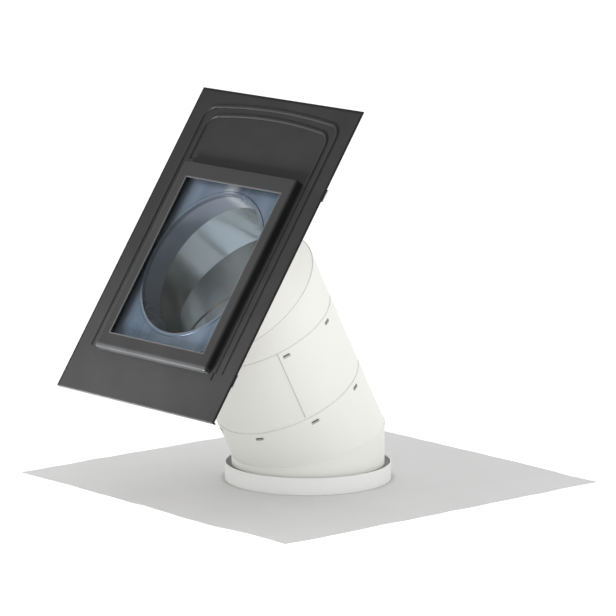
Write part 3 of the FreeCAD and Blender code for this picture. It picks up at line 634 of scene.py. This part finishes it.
zinc = Finish("galvanised_steel")
zinc_patches = cells(zinc, 130, "Color")
zinc_tone = zinc.node("ShaderNodeSeparateColor", {}, {0: zinc_patches}, 0)
wear(
    zinc.surface({
        "Base Color": zinc.mixed(zinc_tone, ZINC_DARK, ZINC_BRIGHT),
        "Metallic": 1.0,
        "Roughness": zinc_tone * 0.22 + 0.30,
    }),
    *(f"roof_bracket_{number}" for number in (1, 2, 3, 4)), "bracket_screws",
)

# %% [markdown]
# The membrane
#
# A square of limp film lies above the ceiling, with the collar standing up through its hole. The packed
# model holds it as a flat plate. Here it becomes a thin sheet that never lies quite flat, with an edge that
# was cut by hand. A grid with a hole cut in it would leave ragged squares round the hole, so the sheet
# grows from the hole instead: a circle is extruded outwards ring by ring, and each ring is a little less
# round and a little more square than the last, until they are quite square four fifths of the way out.

# %% Grow the membrane from its hole
MEMBRANE_SIDE = 0.932
HOLE_RADIUS = 0.1907
FLANGE_REACH = 0.206
MEMBRANE_FOOT = 0.0151
MEMBRANE_WALL = 0.0008
RING_POINTS = 192
RINGS = 34
SQUARE_FROM = 0.8
SQUARE_EASE = 1.5

bm = bmesh.new()
bmesh.ops.create_circle(bm, segments=RING_POINTS, radius=HOLE_RADIUS)
rim = list(bm.edges)


def square_reach(direction):
    """How far the square's edge lies from its middle in a direction."""
    return MEMBRANE_SIDE / 2 / max(abs(direction.x), abs(direction.y))


for ring in range(RINGS + 1):
    grown = bmesh.ops.extrude_edge_only(bm, edges=rim)
    rim = [item for item in grown["geom"] if isinstance(item, bmesh.types.BMEdge)]
    share = ring / RINGS
    squareness = min(1.0, share / SQUARE_FROM) ** SQUARE_EASE
    for point in {vert for edge in rim for vert in edge.verts}:
        direction = Vector((point.co.x, point.co.y, 0)).normalized()
        round_reach = FLANGE_REACH + (MEMBRANE_SIDE / 2 - FLANGE_REACH) * share
        square = FLANGE_REACH + (square_reach(direction) - FLANGE_REACH) * share
        point.co = direction * (round_reach + (square - round_reach) * squareness)
print("membrane points:", len(bm.verts))

# %% [markdown]
# Letting the membrane lie loosely
#
# Film that has been folded in a box keeps broad, low waves. Near the collar it is bonded flat, and towards
# the edge it is free, so the waves grow with the distance from the hole. The cut edge wanders by a
# millimetre or two. The noise is the same on every run, because it depends only on where a point lies.

# %% Wave the membrane and give it a wall
WAVE_HEIGHT = 0.0042
BROAD_WAVES = 5.2
SHORT_WAVES = 15.0
FREE_REACH = 0.16
EDGE_WANDER = 0.0022
EDGE_WAVES = 21.0
EDGE_START = 0.40
EDGE_BAND = 0.066
WELD_REACH = 0.00001


def wave_at(point, waves, layer):
    """Noise from -1 to 1 that depends only on where a point of the membrane lies."""
    return noise.noise(Vector((point.x * waves, point.y * waves, layer)))


for vert in bm.verts:
    reach = max(abs(vert.co.x), abs(vert.co.y))
    freedom = max(0.0, min(1.0, (Vector(vert.co.xy).length - FLANGE_REACH) / FREE_REACH))
    broad = wave_at(vert.co, BROAD_WAVES, 3.1)
    short = wave_at(vert.co, SHORT_WAVES, 8.4)
    at_edge = max(0.0, (reach - EDGE_START) / EDGE_BAND)
    stretch = 1 + wave_at(vert.co, EDGE_WAVES, 1.7) * EDGE_WANDER * at_edge / (MEMBRANE_SIDE / 2)
    vert.co.x *= stretch
    vert.co.y *= stretch
    vert.co.z = MEMBRANE_FOOT + freedom * WAVE_HEIGHT * (0.75 * broad + 0.35 * short)

bmesh.ops.remove_doubles(bm, verts=bm.verts, dist=WELD_REACH)
bmesh.ops.recalc_face_normals(bm, faces=bm.faces)
if sum(face.normal.z for face in bm.faces) < 0:
    bmesh.ops.reverse_faces(bm, faces=bm.faces)
film_mesh = bpy.data.meshes.new("membrane_film")
bm.to_mesh(film_mesh)
bm.free()
film_mesh.shade_smooth()
film = bpy.data.objects.new("membrane_film", film_mesh)
bpy.context.scene.collection.objects.link(film)
film_wall = film.modifiers.new("film_wall", "SOLIDIFY")
film_wall.thickness = MEMBRANE_WALL
film_wall.offset = 1.0
film_wall.use_even_offset = True

# %% [markdown]
# The membrane's finish
#
# Vapour film has a matt grey face with a faint fibre mesh pressed into it, and a slight sheen at a low
# angle. A fine noise makes the fibres as bump, and a broad one makes the film look thicker and thinner in
# places.

# %% Finish the membrane
FILM_SHADED = coloured(0.59, 0.59, 0.59)
FILM_PALE = coloured(0.65, 0.65, 0.65)

film_skin = Finish("vapour_film")
film_clouds = film_skin.grain(film_skin.place, 5, 3.0)
film_fibres = film_skin.grain(film_skin.place, 520, 3.0, 0.7)
film_mesh.materials.append(
    film_skin.surface({
        "Base Color": film_skin.mixed(film_clouds, FILM_SHADED, FILM_PALE),
        "Roughness": film_fibres * 0.15 + 0.58,
        "Specular IOR Level": 0.3,
        "Sheen Weight": 0.15,
        "Normal": film_skin.relief(film_fibres, 0.18, 0.2 * MM),
    })
)
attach(film, "root")
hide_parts("membrane_sheet")

# %% [markdown]
# The studio
#
# The picture has a pure white ground and no hard shadow. A white world lights everything evenly, and the
# floor glows a little, so that it stays white. One large soft lamp in front on the left gives the round
# pieces their form. It would flatten the low beads of the dark sheet, so a lamp beyond the eave grazes that
# sheet from below. It stands where the sheet doesn't mirror it into the camera, because that would wash the
# dark skin out, and it is linked to the roof unit alone, because the white tunnel would burn out under it.
# A weaker lamp low on the right keeps the tunnel's far side readable. The pale floor lies well below the
# lens, so no dark shadow gathers there.

# %% Light the studio
FLOOR_HEIGHT = -0.60
FLOOR_SIDE = 40.0
WHITE = coloured(1, 1, 1)

world = bpy.data.worlds.new("white_studio")
bpy.context.scene.world = world
world.use_nodes = True
world.node_tree.nodes["Background"].inputs["Color"].default_value = WHITE
world.node_tree.nodes["Background"].inputs["Strength"].default_value = 1.0
bpy.context.scene.view_settings.view_transform = "Standard"


def soft_lamp(name, aim, offset, side, power, spread):
    """A square area lamp that stands off from what it faces."""
    lamp_data = bpy.data.lights.new(name, "AREA")
    lamp_data.size = side
    lamp_data.energy = power
    lamp_data.spread = math.radians(spread)
    lamp = bpy.data.objects.new(name, lamp_data)
    lamp.location = aim + offset
    lamp.rotation_euler = offset.to_track_quat("Z", "Y").to_euler()
    bpy.context.scene.collection.objects.link(lamp)
    return lamp


soft_lamp("key_lamp", AIM, Vector((-0.7, -3.4, 1.6)), side=2.0, power=20, spread=180)
slope_lamp = soft_lamp(
    "slope_lamp", ROOF_HOLE, Vector((-0.60, -1.64, -0.82)), side=0.7, power=11.5, spread=40
)
roof_unit = bpy.data.collections.new("roof_unit_pieces")
for name in ("roof_sheet", "mirror_tray", "glass_pane", *COVERS):
    roof_unit.objects.link(nodes[name])
slope_lamp.light_linking.receiver_collection = roof_unit
soft_lamp("low_lamp", AIM, Vector((3.1, 0.7, 0.2)), side=1.6, power=4, spread=180)

# %% Lay the floor
floor_bm = bmesh.new()
bmesh.ops.create_grid(floor_bm, x_segments=8, y_segments=8, size=FLOOR_SIDE / 2)
bmesh.ops.translate(floor_bm, verts=floor_bm.verts, vec=(0, 0, FLOOR_HEIGHT))
floor_mesh = bpy.data.meshes.new("studio_floor")
floor_bm.to_mesh(floor_mesh)
floor_bm.free()
floor = bpy.data.objects.new("studio_floor", floor_mesh)
bpy.context.scene.collection.objects.link(floor)
floor_paint = Finish("floor_paint")
floor_clouds = floor_paint.grain(floor_paint.place, 0.4, 1.0)
floor_mesh.materials.append(
    floor_paint.surface({
        "Base Color": floor_paint.mixed(floor_clouds, coloured(0.985, 0.985, 0.985), WHITE),
        "Roughness": 0.9,
        "Specular IOR Level": 0.1,
        "Emission Color": WHITE,
        "Emission Strength": 0.12,
    })
)
